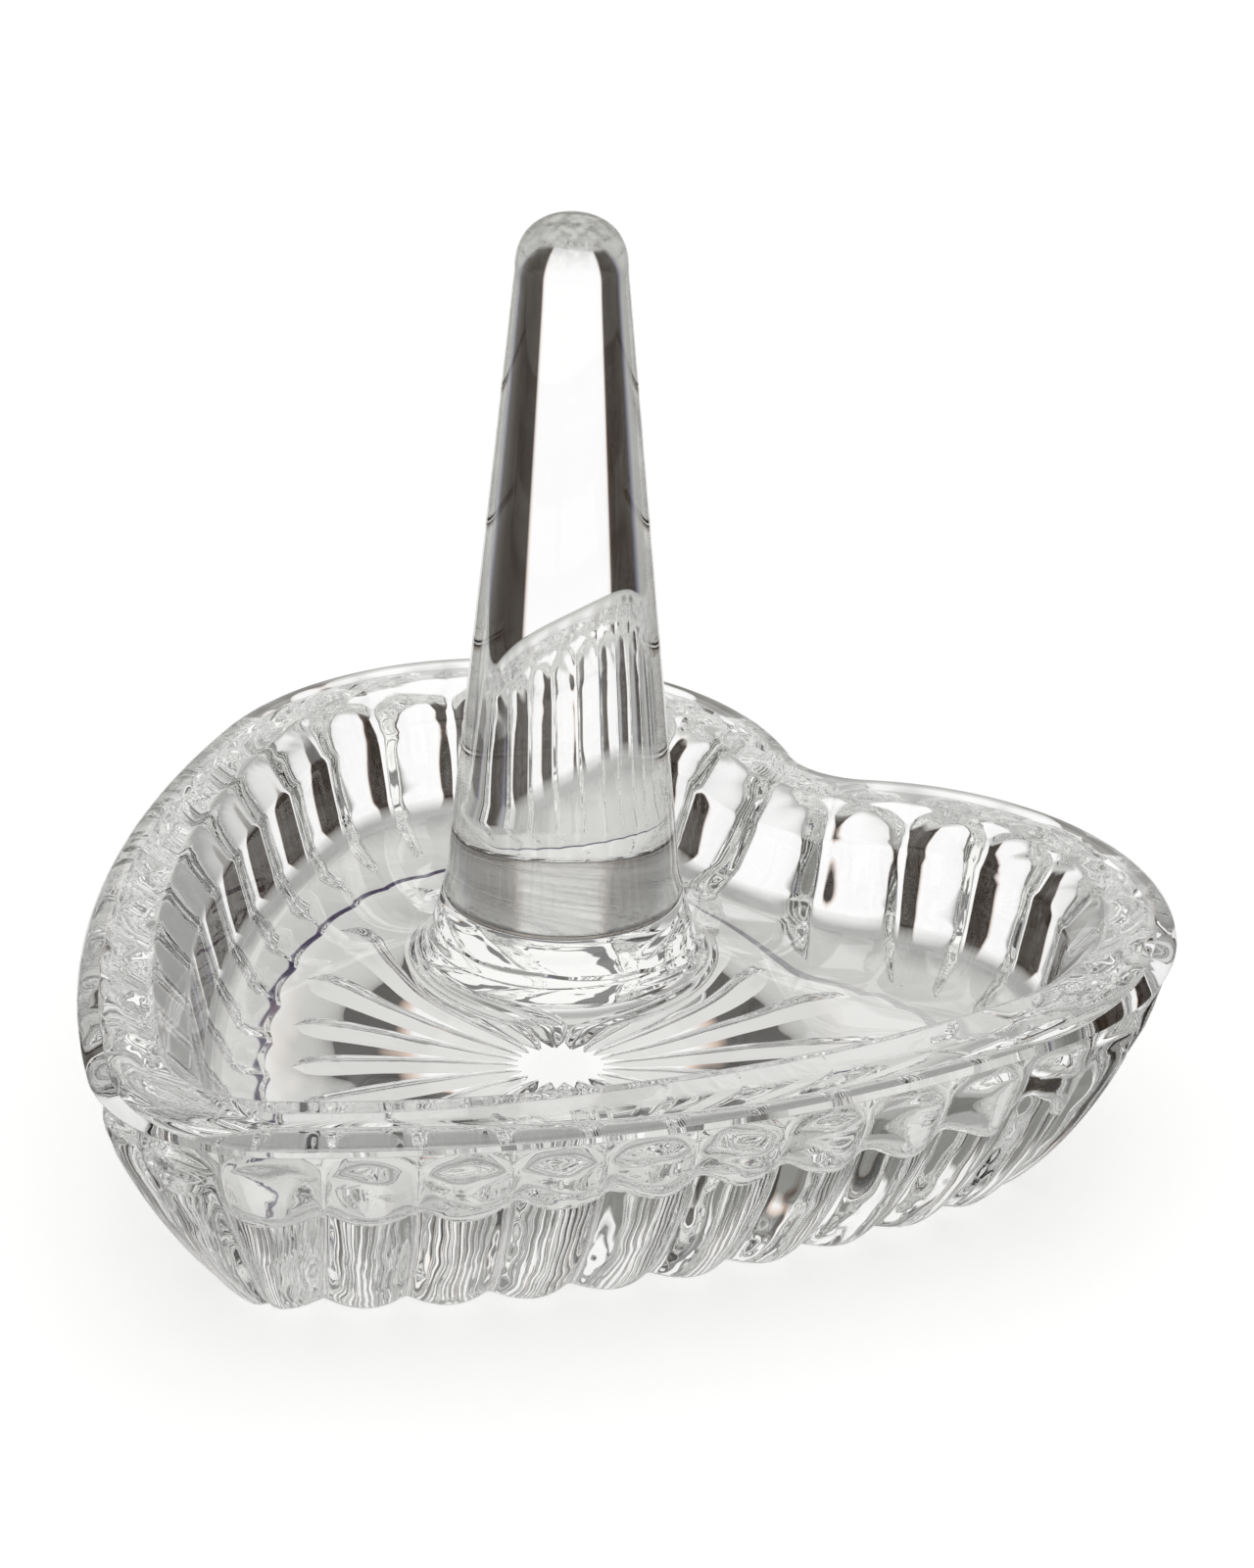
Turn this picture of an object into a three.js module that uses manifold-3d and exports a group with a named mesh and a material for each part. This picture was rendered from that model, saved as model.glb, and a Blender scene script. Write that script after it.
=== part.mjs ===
// Heart-shaped crystal ring holder: a heavy reeded dish, a clear bond film and a tapered post.
// Millimetres, +Z up. The origin lies on the post's axis, on the plane that the dish stands on.
// The heart is symmetric about the YZ plane, with its cleft towards +Y and its tip towards -Y.

import * as THREE from 'three';
import { mergeVertices } from 'three/addons/utils/BufferGeometryUtils.js';
import Module from 'manifold-3d';

// Heart outline at the widest line of the rim, as tangent arcs
const LOBE_CENTRE_X = 21.4;
const LOBE_CENTRE_Y = 16.3;
const LOBE_RADIUS = 29.5;
const CLEFT_RADIUS = 7.7;
const SIDE_RADIUS = 118;
const TIP_CENTRE_Y = -38.4;
const BASE_TIP_RADIUS = 2.8;

// Outside of the dish
const DISH_HEIGHT = 25.1;
const BASE_INSET = 14.6;
const WALL_FULLNESS = 1.33;

// Heel between the reeds' feet and the flat base, with a steep brink at the base's scalloped edge
const HEEL_RISE = 0.9;
const HEEL_SCALE = 0.86;
const HEEL_SCALLOP = 0.35;
const BRINK_RISE = 0.4;
const BRINK_WIDTH = 0.35;

// Rim and inside of the dish
const SHOULDER_DROP = 2.1;
const SHOULDER_WIDTH = 3.5;
const RIM_LAND = 3.3;
const BEVEL_WIDTH = 3.3;
const BEVEL_DROP = 3.2;
const INNER_WALL_LEAN = 1.1;
const FLOOR_DROP = 11.5;
const FLOOR_FILLET = 2.6;
const FLOOR_RISE_RADIUS = 37;
const FLOOR_RISE_SLOPE = 0.49;

// Reeds round the outside, evenly spaced along a line partway down the wall
const REED_COUNT = 36;
const REED_DEPTH = 2.4;
const REED_SQUARENESS = 2;
const REED_PITCH_INSET = 5.5;
const REED_DOME_HEIGHT = 2.3;
const COLLAR_HEIGHT = 0.8;
const RIM_LIP_HEIGHT = 0.6;

// Star of leaf-shaped cuts under the base
const STAR_RAYS = 20;
const STAR_HUB_RADIUS = 3;
const STAR_MARGIN = 2.6;
const RAY_WIDTH = 3.6;
const RAY_DEPTH = 0.9;
const RAY_GIRDLES = [[0.22, 0.6], [0.8, 1]];

// Flared boss in the middle of the floor
const BOSS_RADIUS = 11;
const BOSS_PROUD = 1;
const BOSS_DRAFT_DEGREES = 16;
const BOSS_FILLET = 5;

// Clear film that holds the post on the boss
const BOND_THICKNESS = 0.4;
const BOND_SETBACK = 0.15;

// Tapered post
const POST_LENGTH = 64.9;
const POST_FOOT_FLARE = 0.55;
const POST_FLARE_HEIGHT = 3.6;
const POST_TOP_RADIUS = 5.05;
const POST_DOME_HEIGHT = 4.8;
const POST_DOME_SQUARENESS = 2.3;

// Facet counts
const REED_STEPS = [-0.5, -0.3, -0.1, 0.1, 0.3];
const WALL_LEVELS = [0, 0.06, 0.22, 0.5, 0.78];
const DOME_LEVELS = [0, 0.5, 0.8, 1];
const SHOULDER_STEPS = 3;
const FILLET_STEPS = 3;
const FLOOR_STEPS = 4;
const POST_SIDES = 48;
const POST_DOME_STEPS = 8;

// Heights and insets that follow from the sizes above
const widestHeight = DISH_HEIGHT - SHOULDER_DROP;
const collarTop = widestHeight - RIM_LIP_HEIGHT;
const collarBottom = collarTop - COLLAR_HEIGHT;
const domeStart = collarBottom - REED_DOME_HEIGHT;
const landInset = SHOULDER_WIDTH + RIM_LAND;
const bevelInset = landInset + BEVEL_WIDTH;
const bevelFoot = DISH_HEIGHT - BEVEL_DROP;
const wallFootInset = bevelInset + INNER_WALL_LEAN;
const floorInset = wallFootInset + FLOOR_FILLET;
const floorThickness = DISH_HEIGHT - FLOOR_DROP;
const bossTop = DISH_HEIGHT + BOSS_PROUD;
const postFoot = bossTop + BOND_THICKNESS;

const wasm = await Module();
wasm.setup();

// Tangent arcs of the right half, from the tip to the cleft. A negative bend is a hollow arc.
function heartArcs() {
  const tipRadius = BASE_TIP_RADIUS + BASE_INSET;
  const lobe = new THREE.Vector2(LOBE_CENTRE_X, LOBE_CENTRE_Y);
  const tip = new THREE.Vector2(0, TIP_CENTRE_Y);
  const cleftReach = LOBE_RADIUS + CLEFT_RADIUS;
  const cleftRise = Math.sqrt(cleftReach ** 2 - LOBE_CENTRE_X ** 2);
  const cleft = new THREE.Vector2(0, LOBE_CENTRE_Y + cleftRise);

  // The side arc holds both the lobe and the tip circle on its inside
  const toLobe = SIDE_RADIUS - LOBE_RADIUS;
  const toTip = SIDE_RADIUS - tipRadius;
  const span = lobe.distanceTo(tip);
  const along = (toLobe ** 2 - toTip ** 2 + span ** 2) / (2 * span);
  const aside = Math.sqrt(toLobe ** 2 - along ** 2);
  const axis = tip.clone().sub(lobe).divideScalar(span);
  const across = new THREE.Vector2(axis.y, -axis.x);
  const side = lobe.clone().addScaledVector(axis, along).addScaledVector(across, aside);

  const heading = (start, end) => Math.atan2(end.y - start.y, end.x - start.x);
  const tipEnd = heading(side, tip);
  const sideEnd = heading(side, lobe);
  const lobeEnd = heading(lobe, cleft);
  return [
    { centre: tip, radius: tipRadius, bend: 1, from: -Math.PI / 2, to: tipEnd },
    { centre: side, radius: SIDE_RADIUS, bend: 1, from: tipEnd, to: sideEnd },
    { centre: lobe, radius: LOBE_RADIUS, bend: 1, from: sideEnd, to: lobeEnd },
    { centre: cleft, radius: CLEFT_RADIUS, bend: -1, from: lobeEnd - Math.PI, to: -Math.PI / 2 },
  ];
}

// A station knows its point on the widest line, the outward normal and how much an inset narrows it
function stationOnHalf(arcs, distance) {
  let left = distance;
  for (const [index, arc] of arcs.entries()) {
    const pitchRadius = arc.radius - arc.bend * REED_PITCH_INSET;
    const length = pitchRadius * Math.abs(arc.to - arc.from);
    if (left <= length || index === arcs.length - 1) {
      const angle = arc.from + (arc.to - arc.from) * Math.min(1, left / length);
      const direction = new THREE.Vector2(Math.cos(angle), Math.sin(angle));
      return {
        point: arc.centre.clone().addScaledVector(direction, arc.radius),
        normal: direction.multiplyScalar(arc.bend),
        narrowing: (inset) => (arc.radius - arc.bend * inset) / pitchRadius,
      };
    }
    left -= length;
  }
}

function heartStations() {
  const arcs = heartArcs();
  const half = arcs.reduce(
    (sum, arc) => sum + (arc.radius - arc.bend * REED_PITCH_INSET) * Math.abs(arc.to - arc.from), 0);
  const stations = [];
  for (let reed = 0; reed < REED_COUNT; reed += 1) {
    for (const step of REED_STEPS) {
      const share = (reed + step) / REED_COUNT * 2;
      const turn = THREE.MathUtils.euclideanModulo(share, 2);
      const mirrored = turn > 1;
      const station = stationOnHalf(arcs, half * (mirrored ? 2 - turn : turn));
      if (mirrored) {
        station.point.x *= -1;
        station.normal.x *= -1;
      }
      const inner = station.point.clone().addScaledVector(station.normal, -floorInset);
      stations.push({ ...station, inner, fall: Math.abs(2 * step) ** REED_SQUARENESS });
    }
  }
  return stations;
}

// Inset of the smooth outer wall from the widest line at a height
function wallInset(height) {
  const rise = (1 - height / widestHeight) ** WALL_FULLNESS;
  return BASE_INSET * (1 - (1 - rise) ** (1 / WALL_FULLNESS));
}

// Inset of the reeded wall: reeds stand proud of the groove level and end in domes at the collar
function reededInset(station, height) {
  const smooth = wallInset(height);
  const depth = REED_DEPTH * Math.min(1, station.narrowing(smooth));
  const climb = Math.max(0, (height - domeStart) / REED_DOME_HEIGHT);
  const proud = 1 - station.fall - climb ** 2;
  return smooth + depth * (1 - Math.max(0, proud));
}

function ringAt(stations, insetOf, heightOf) {
  return stations.map((station) => {
    const flat = station.point.clone().addScaledVector(station.normal, -insetOf(station));
    return new THREE.Vector3(flat.x, flat.y, heightOf(station));
  });
}

function roundRing(stations, radiusOf, heightOf) {
  return stations.map((station) => {
    const radius = radiusOf(station);
    const flat = station.inner.clone().setLength(radius);
    return new THREE.Vector3(flat.x, flat.y, heightOf(radius));
  });
}

// Scalloped edge of the flat base and the brink above it
function heelRings(stations) {
  const foot = wallInset(HEEL_RISE);
  const scallop = (station) => foot + REED_DEPTH * HEEL_SCALLOP * station.fall;
  const edge = ringAt(stations, scallop, () => 0).map((point) => point.multiplyScalar(HEEL_SCALE));
  const brink = edge.map((point, index) => {
    const { normal } = stations[index];
    return new THREE.Vector3(normal.x, normal.y, 0).multiplyScalar(BRINK_WIDTH).add(point).setZ(BRINK_RISE);
  });
  return [edge, brink];
}

// Fillet between the boss's drafted side and the rising floor: its centre, and the floor's lean at its foot
function bossFlare() {
  const draft = THREE.MathUtils.degToRad(BOSS_DRAFT_DEGREES);
  const lean = Math.atan(FLOOR_RISE_SLOPE);
  const filletTop = bossTop + BOSS_FILLET * Math.sin(draft);
  const head = BOSS_RADIUS + BOSS_FILLET * Math.cos(draft) + filletTop * Math.tan(draft);
  const reach = FLOOR_RISE_RADIUS + BOSS_FILLET * Math.sin(lean) - head;
  const low = floorThickness + BOSS_FILLET * Math.cos(lean) + FLOOR_RISE_SLOPE / 2 * reach;
  const height = low / (1 - FLOOR_RISE_SLOPE / 2 * Math.tan(draft));
  const radius = head - height * Math.tan(draft);
  return { radius, height, lean, steepest: Math.PI / 2 - draft, foot: radius - BOSS_FILLET * Math.sin(lean) };
}

// Height of the floor, which is level near the wall and rises ever more steeply towards the boss
function floorHeight(flare, radius) {
  const short = Math.max(0, FLOOR_RISE_RADIUS - radius);
  return floorThickness + FLOOR_RISE_SLOPE / 2 * short ** 2 / (FLOOR_RISE_RADIUS - flare.foot);
}

// Rings round the fillet at the inner wall's foot and along the floor to the boss
function floorRings(stations, flare) {
  const rings = [];
  for (let step = 0; step <= FILLET_STEPS; step += 1) {
    const angle = step / FILLET_STEPS * Math.PI / 2;
    const inset = wallFootInset + FLOOR_FILLET * (1 - Math.cos(angle));
    const rise = FLOOR_FILLET * (1 - Math.sin(angle));
    const height = (station) => floorHeight(flare, station.inner.length()) + rise;
    rings.push(ringAt(stations, () => inset, height));
  }
  for (let step = 1; step < FLOOR_STEPS; step += 1) {
    const radius = (station) => THREE.MathUtils.lerp(station.inner.length(), flare.foot, step / FLOOR_STEPS);
    rings.push(roundRing(stations, radius, (reach) => floorHeight(flare, reach)));
  }
  return rings;
}

// Rings from the floor up the boss's fillet and its drafted side
function bossRings(stations, flare) {
  const rings = [];
  for (let step = 0; step <= FILLET_STEPS; step += 1) {
    const lean = THREE.MathUtils.lerp(flare.lean, flare.steepest, step / FILLET_STEPS);
    const radius = flare.radius - BOSS_FILLET * Math.sin(lean);
    const height = flare.height - BOSS_FILLET * Math.cos(lean);
    rings.push(roundRing(stations, () => radius, () => height));
  }
  rings.push(roundRing(stations, () => BOSS_RADIUS, () => bossTop));
  return rings;
}

// Closed skin over a stack of rings of equal length, with a point at each end
function loft(start, rings, end) {
  const count = rings[0].length;
  const points = [start, ...rings.flat(), end];
  const last = points.length - 1;
  const at = (ring, index) => 1 + ring * count + index % count;
  const faces = [];
  for (let index = 0; index < count; index += 1) {
    faces.push(0, at(0, index + 1), at(0, index));
    for (let ring = 0; ring + 1 < rings.length; ring += 1) {
      const corner = at(ring, index);
      const right = at(ring, index + 1);
      const above = at(ring + 1, index);
      const opposite = at(ring + 1, index + 1);
      faces.push(corner, right, opposite, corner, opposite, above);
    }
    faces.push(at(rings.length - 1, index), at(rings.length - 1, index + 1), last);
  }
  const geometry = new THREE.BufferGeometry().setFromPoints(points);
  geometry.setIndex(faces);
  return geometry;
}

function toSolid(geometry) {
  const plain = geometry.clone();
  plain.deleteAttribute('normal');
  plain.deleteAttribute('uv');
  const merged = mergeVertices(plain);
  const vertProperties = new Float32Array(merged.attributes.position.array);
  const triVerts = new Uint32Array(merged.index.array);
  return new wasm.Manifold(new wasm.Mesh({ numProp: 3, vertProperties, triVerts }));
}

function toGeometry(solid) {
  const mesh = solid.getMesh();
  const geometry = new THREE.BufferGeometry();
  geometry.setAttribute('position', new THREE.BufferAttribute(mesh.vertProperties, 3));
  geometry.setIndex(new THREE.BufferAttribute(mesh.triVerts, 1));
  geometry.computeVertexNormals();
  return geometry;
}

// Cutter for one star ray: a long faceted leaf, half of which bites into the base
function rayCutter(angle, reach) {
  const outwards = new THREE.Vector3(Math.cos(angle), Math.sin(angle), 0);
  const sideways = new THREE.Vector3(-outwards.y, outwards.x, 0);
  const hubEnd = outwards.clone().multiplyScalar(STAR_HUB_RADIUS);
  const rimEnd = outwards.clone().multiplyScalar(reach);
  const girdles = RAY_GIRDLES.map(([share, fullness]) => {
    const middle = hubEnd.clone().lerp(rimEnd, share);
    const aside = sideways.clone().multiplyScalar(RAY_WIDTH / 2 * fullness);
    const up = new THREE.Vector3(0, 0, RAY_DEPTH * fullness);
    return [
      middle.clone().add(aside),
      middle.clone().add(up),
      middle.clone().sub(aside),
      middle.clone().sub(up),
    ];
  });
  return loft(hubEnd, girdles, rimEnd);
}

// Distance from the axis to the base's edge in a direction, between the two nearest edge points
function edgeReach(ring, angle) {
  const direction = new THREE.Vector2(Math.cos(angle), Math.sin(angle));
  const reaches = ring.map((point, index) => {
    const next = ring[(index + 1) % ring.length];
    const before = direction.cross(point);
    const after = direction.cross(next);
    const ahead = direction.dot(point) > 0;
    const share = before / (before - after);
    return ahead && before <= 0 && after > 0 ? point.clone().lerp(next, share).length() : 0;
  });
  return Math.max(...reaches);
}

function dishGeometry() {
  const stations = heartStations();
  const flare = bossFlare();
  const reeded = (height) => ringAt(stations, (station) => reededInset(station, height), () => height);
  const plain = (inset, height) => ringAt(stations, () => inset, () => height);

  const heel = heelRings(stations);
  const reedRings = WALL_LEVELS.map((level) => reeded(THREE.MathUtils.lerp(HEEL_RISE, domeStart, level)));
  const domeRings = DOME_LEVELS.map((level) => reeded(domeStart + level * REED_DOME_HEIGHT));
  const shoulderRings = [];
  for (let step = 0; step <= SHOULDER_STEPS; step += 1) {
    const angle = step / SHOULDER_STEPS * Math.PI / 2;
    const inset = SHOULDER_WIDTH * (1 - Math.cos(angle));
    shoulderRings.push(plain(inset, widestHeight + SHOULDER_DROP * Math.sin(angle)));
  }

  const body = loft(
    new THREE.Vector3(0, 0, 0),
    [
      ...heel,
      ...reedRings,
      ...domeRings,
      reeded(collarTop),
      ...shoulderRings,
      plain(landInset, DISH_HEIGHT),
      plain(bevelInset, bevelFoot),
      ...floorRings(stations, flare),
      ...bossRings(stations, flare),
    ],
    new THREE.Vector3(0, 0, bossTop),
  );

  let solid = toSolid(body);
  for (let ray = 0; ray < STAR_RAYS; ray += 1) {
    const angle = (ray + 0.5) / STAR_RAYS * 2 * Math.PI;
    const reach = edgeReach(heel[0], angle) - STAR_MARGIN;
    solid = solid.subtract(toSolid(rayCutter(angle, reach)));
  }
  return toGeometry(solid);
}

// Revolves a profile of radius and height pairs, listed upwards, into a closed solid
function revolved(profile) {
  const points = [
    new THREE.Vector2(0, profile[0][1]),
    ...profile.map(([radius, height]) => new THREE.Vector2(radius, height)),
  ];
  const geometry = new THREE.LatheGeometry(points, POST_SIDES);
  geometry.rotateX(Math.PI / 2);
  return geometry;
}

function bondGeometry() {
  const radius = BOSS_RADIUS - BOND_SETBACK;
  return revolved([[radius, 0], [radius, BOND_THICKNESS], [0, BOND_THICKNESS]]);
}

function postGeometry() {
  const taperFoot = BOSS_RADIUS - POST_FOOT_FLARE;
  const domeFoot = POST_LENGTH - POST_DOME_HEIGHT;
  const profile = [[BOSS_RADIUS, 0]];
  for (let step = 1; step < FILLET_STEPS; step += 1) {
    const climb = step / FILLET_STEPS;
    profile.push([taperFoot + POST_FOOT_FLARE * (1 - climb) ** 2, POST_FLARE_HEIGHT * climb]);
  }
  profile.push([taperFoot, POST_FLARE_HEIGHT]);
  for (let step = 0; step <= POST_DOME_STEPS; step += 1) {
    const angle = step / POST_DOME_STEPS * Math.PI / 2;
    const inwards = Math.max(0, Math.cos(angle)) ** (2 / POST_DOME_SQUARENESS);
    const upwards = Math.sin(angle) ** (2 / POST_DOME_SQUARENESS);
    const radius = step === POST_DOME_STEPS ? 0 : POST_TOP_RADIUS * inwards;
    profile.push([radius, domeFoot + POST_DOME_HEIGHT * upwards]);
  }
  return revolved(profile);
}

const crystal = new THREE.MeshStandardMaterial({ color: 0xf1f4f5, roughness: 0.03, metalness: 0 });
const clearFilm = new THREE.MeshStandardMaterial({ color: 0xd9dcda, roughness: 0.3, metalness: 0 });

const dish = new THREE.Mesh(dishGeometry(), crystal);
dish.name = 'heart_dish';

const bond = new THREE.Mesh(bondGeometry(), clearFilm);
bond.name = 'post_bond';
bond.position.z = bossTop;

const post = new THREE.Mesh(postGeometry(), crystal.clone());
post.name = 'ring_post';
post.position.z = postFoot;

const ringHolder = new THREE.Group();
ringHolder.add(dish, bond, post);

export default ringHolder;
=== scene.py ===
import math

import bpy
import numpy as np
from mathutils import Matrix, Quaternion, Vector
from mathutils.geometry import delaunay_2d_cdt


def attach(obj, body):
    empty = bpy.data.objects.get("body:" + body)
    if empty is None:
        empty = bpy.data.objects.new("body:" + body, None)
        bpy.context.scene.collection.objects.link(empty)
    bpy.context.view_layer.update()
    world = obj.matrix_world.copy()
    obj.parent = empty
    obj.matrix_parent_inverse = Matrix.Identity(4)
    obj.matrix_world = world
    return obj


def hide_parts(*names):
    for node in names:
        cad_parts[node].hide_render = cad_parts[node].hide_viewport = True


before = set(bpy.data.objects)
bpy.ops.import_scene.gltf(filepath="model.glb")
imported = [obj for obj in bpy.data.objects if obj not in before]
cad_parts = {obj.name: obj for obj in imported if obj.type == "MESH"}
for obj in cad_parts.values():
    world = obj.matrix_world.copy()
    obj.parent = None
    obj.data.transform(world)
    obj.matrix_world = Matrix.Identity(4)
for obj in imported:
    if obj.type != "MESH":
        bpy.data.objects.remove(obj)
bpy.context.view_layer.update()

MM = 0.001

# Heart outline at the widest line of the rim, in millimetres
LOBE_CENTRE = (21.4, 16.3)
LOBE_RADIUS = 29.5
OUTLINE_TRIM = 0.06
CLEFT_RADIUS = 7.7
SIDE_RADIUS = 118.0
TIP_CENTRE_Y = -38.4
BASE_TIP_RADIUS = 2.8

# Outside of the dish
DISH_HEIGHT = 25.1
BASE_INSET = 14.6
WALL_FULLNESS = 1.33

# Rim and inside of the dish
SHOULDER_DROP = 2.1
SHOULDER_WIDTH = 3.5
RIM_LAND = 3.3
BEVEL_WIDTH = 3.3
BEVEL_DROP = 3.2
INNER_WALL_LEAN = 1.1
FLOOR_THICKNESS = 13.6
FLOOR_FILLET = 2.6
EDGE_ROUND = 0.5
LIP_ROUND = 0.3

# Heel under the wall, between the reeds' feet and the edge of the flat base
HEEL_RISE = 0.9
HEEL_SCALE = 0.86
HEEL_SCALLOP = 0.35
HEEL_FULLNESS = 0.5
EDGE_RISE = 0.4
EDGE_WIDTH = 0.35

# Reeds
REED_COUNT = 36
REED_DEPTH = 2.4
REED_SQUARENESS = 2.0
GROOVE_SOFTNESS = 16.0
REED_PITCH_INSET = 5.5
REED_DOME_HEIGHT = 2.3
COLLAR_HEIGHT = 0.8
RIM_LIP_HEIGHT = 0.6
DOME_UNEVENNESS = 0.5
PRESSING_SEED = 7
FOLD_DEPTH = 0.7
FOLD_REACH = 3.0
FOLD_WAVES = ((0.7, 4.4), (1.3, 3.0))
FOLD_SEED = 5

# Star of cuts under the base
STAR_RAYS = 20
STAR_HUB_RADIUS = 3.0
STAR_MARGIN = 2.6
RAY_WIDTH = 3.6
RAY_DEPTH = 0.9
RAY_FULLEST_AT = 0.8
RAY_SHARE = 0.97
RAY_NARROWING = 0.4

# Boss, bond film and post
BOSS_RADIUS = 11.0
BOSS_RISE = 12.5
BOSS_DRAFT = math.radians(16)
BOSS_FILLET = 5.0
FLOOR_RISE_RADIUS = 37.0
FLOOR_RISE_SLOPE = 0.49
BOND_THICKNESS = 0.4
BOND_SETBACK = 0.15
POST_LENGTH = 64.9
POST_FOOT_FLARE = 0.55
POST_FLARE_HEIGHT = 3.6
POST_TOP_RADIUS = 5.05
POST_DOME_HEIGHT = 4.8
POST_DOME_SQUARENESS = 2.3
POST_TIP_RADIUS = 0.05
JOINT_OVERLAP = 0.02
MENISCUS = 0.08
BUBBLE_CLUSTERS = ((-2.6, -9.2), (9.2, -1.3))
BUBBLE_COUNT = 12
BUBBLE_SPREAD = (0.88, 0.55)
BUBBLE_RADIUS = (0.12, 0.3)
BUBBLE_HEIGHT = 0.18
BUBBLE_MARGIN = 0.16
BUBBLE_SEED = 3
BUBBLE_ROWS = 6
BUBBLE_COLUMNS = 12

# Finishes: waves are their width and height, and spans are limits of a noise
CRYSTAL_COLOUR = (1, 1, 1)
CRYSTAL_IOR = 1.54
DISH_WAVES = (9, 0.09)
PRESSED_WAVES = (7, 0.5)
POST_WAVES = (14, 0.01)
BUBBLE_WAVES = (14, 0.01)
WAVE_DETAIL = 1
FROST_GRAIN = 0.75
FROST_DETAIL = 3
FROST_SPAN = (0.35, 0.65)
FROST_ROUGHNESS = (0.12, 0.22)
FROST_REACH = 5.2
FROST_FULL = 4.2
# Painted shade on the post's dome: how far down it reaches, the noise span that mottles it, and its dark and
# pale greys
TIP_SHADE_REACH = 3.4
TIP_SHADE_SPAN = (0.4, 0.6)
TIP_SHADE_DARK = (0.18, 0.18, 0.17)
TIP_SHADE_PALE = (0.75, 0.75, 0.73)
FILM_COLOUR = (0.97, 0.97, 0.95)
FILM_GREY = (0.96, 0.96, 0.94)
FILM_PALE = (1, 1, 0.99)
FILM_BROWN = (0.4, 0.34, 0.3)
FILM_BROWN_FROM = 0.95
FILM_BROWN_FULL = 0.985
FILM_IOR = 1.5
FILM_ROUGHNESS = (0.12, 0.3)
FILM_RELIEF = 0.03
SCRATCH_SCALE = 900
SCRATCH_DETAIL = 3
SCRATCH_STRETCH = (0.15, 1, 1)
SCRATCH_SPAN = (0.3, 0.7)
SCRATCH_GREY_SPAN = (0.35, 0.65)

# Mesh counts
REED_COLUMNS = 24
WALL_ROWS = 30
COLLAR_ROWS = 6
ARC_ROWS = 8
FLOOR_ROWS = 12
HEEL_ROWS = 8
ROUND_ROWS = 4
RAY_POINTS = 16
RAY_LINES = (0, 0.35, -0.35, 0.7, -0.7, 1, -1)
POST_COLUMNS = 144
POST_ROWS = 40
FILM_RINGS = (0.96, 0.9, 0.8, 0.6, 0.4, 0.2)
COLUMN_CROWDING = 0.6
ROW_CROWDING = 1.2
LONGEST_ROUND = 0.45
CUT_TOLERANCE = 1e-6
INSIDE_ONLY = 1

# Colour sockets of a mix node
MIX_FIRST = 6
MIX_SECOND = 7
MIX_RESULT = 2

widest_height = DISH_HEIGHT - SHOULDER_DROP
collar_top = widest_height - RIM_LIP_HEIGHT
dome_start = collar_top - COLLAR_HEIGHT - REED_DOME_HEIGHT
land_inset = SHOULDER_WIDTH + RIM_LAND
bevel_inset = land_inset + BEVEL_WIDTH
wall_foot_inset = bevel_inset + INNER_WALL_LEAN
floor_inset = wall_foot_inset + FLOOR_FILLET
boss_top = FLOOR_THICKNESS + BOSS_RISE
post_foot = boss_top + BOND_THICKNESS
post_top = post_foot + POST_LENGTH


def heart_arcs():
    """Tangent arcs of the right half from the tip to the cleft: centre, radius, bend, start and end angle."""
    tip_radius = BASE_TIP_RADIUS + BASE_INSET
    lobe = np.array(LOBE_CENTRE)
    tip = np.array((0.0, TIP_CENTRE_Y))
    cleft_rise = math.sqrt((LOBE_RADIUS + CLEFT_RADIUS) ** 2 - lobe[0] ** 2)
    cleft = np.array((0.0, lobe[1] + cleft_rise))
    to_lobe = SIDE_RADIUS - LOBE_RADIUS
    to_tip = SIDE_RADIUS - tip_radius
    span = np.linalg.norm(tip - lobe)
    along = (to_lobe ** 2 - to_tip ** 2 + span ** 2) / (2 * span)
    aside = math.sqrt(to_lobe ** 2 - along ** 2)
    axis = (tip - lobe) / span
    side = lobe + axis * along + np.array((axis[1], -axis[0])) * aside

    def heading(start, end):
        return math.atan2(end[1] - start[1], end[0] - start[0])

    tip_end = heading(side, tip)
    side_end = heading(side, lobe)
    lobe_end = heading(lobe, cleft)
    return [
        (tip, tip_radius, 1, -math.pi / 2, tip_end),
        (side, SIDE_RADIUS, 1, tip_end, side_end),
        (lobe, LOBE_RADIUS, 1, side_end, lobe_end),
        (cleft, CLEFT_RADIUS, -1, lobe_end - math.pi, -math.pi / 2),
    ]


def heart_columns():
    """Point, outward normal, reed offset and narrowing data of every column round the dish."""
    arcs = heart_arcs()
    lengths = [(r - bend * REED_PITCH_INSET) * abs(b - a) for _, r, bend, a, b in arcs]
    half = sum(lengths)
    turns = np.linspace(-1, 1, REED_COLUMNS, endpoint=False)
    crowded = np.sin(turns * math.pi / 2)
    offsets = 0.5 * (COLUMN_CROWDING * crowded + (1 - COLUMN_CROWDING) * turns)
    rows = []
    for reed in range(REED_COUNT):
        for offset in offsets:
            turn = ((reed + offset) / REED_COUNT * 2) % 2
            left = half * (2 - turn if turn > 1 else turn)
            for (centre, radius, bend, start, end), length in zip(arcs, lengths):
                if left <= length or bend < 0:
                    break
                left -= length
            angle = start + (end - start) * min(1, left / length)
            direction = np.array((math.cos(angle), math.sin(angle)))
            point = centre + direction * radius
            normal = direction * bend
            mirror = -1 if turn > 1 else 1
            pitch_radius = radius - bend * REED_PITCH_INSET
            rows.append((point[0] * mirror, point[1], normal[0] * mirror, normal[1],
                         offset, radius, bend, pitch_radius))
    return np.array(rows)


columns = heart_columns()
col_point = columns[:, 0:2]
col_normal = columns[:, 2:4]
col_offset = columns[:, 4]
col_radius, col_bend, col_pitch = columns[:, 5], columns[:, 6], columns[:, 7]


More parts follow.
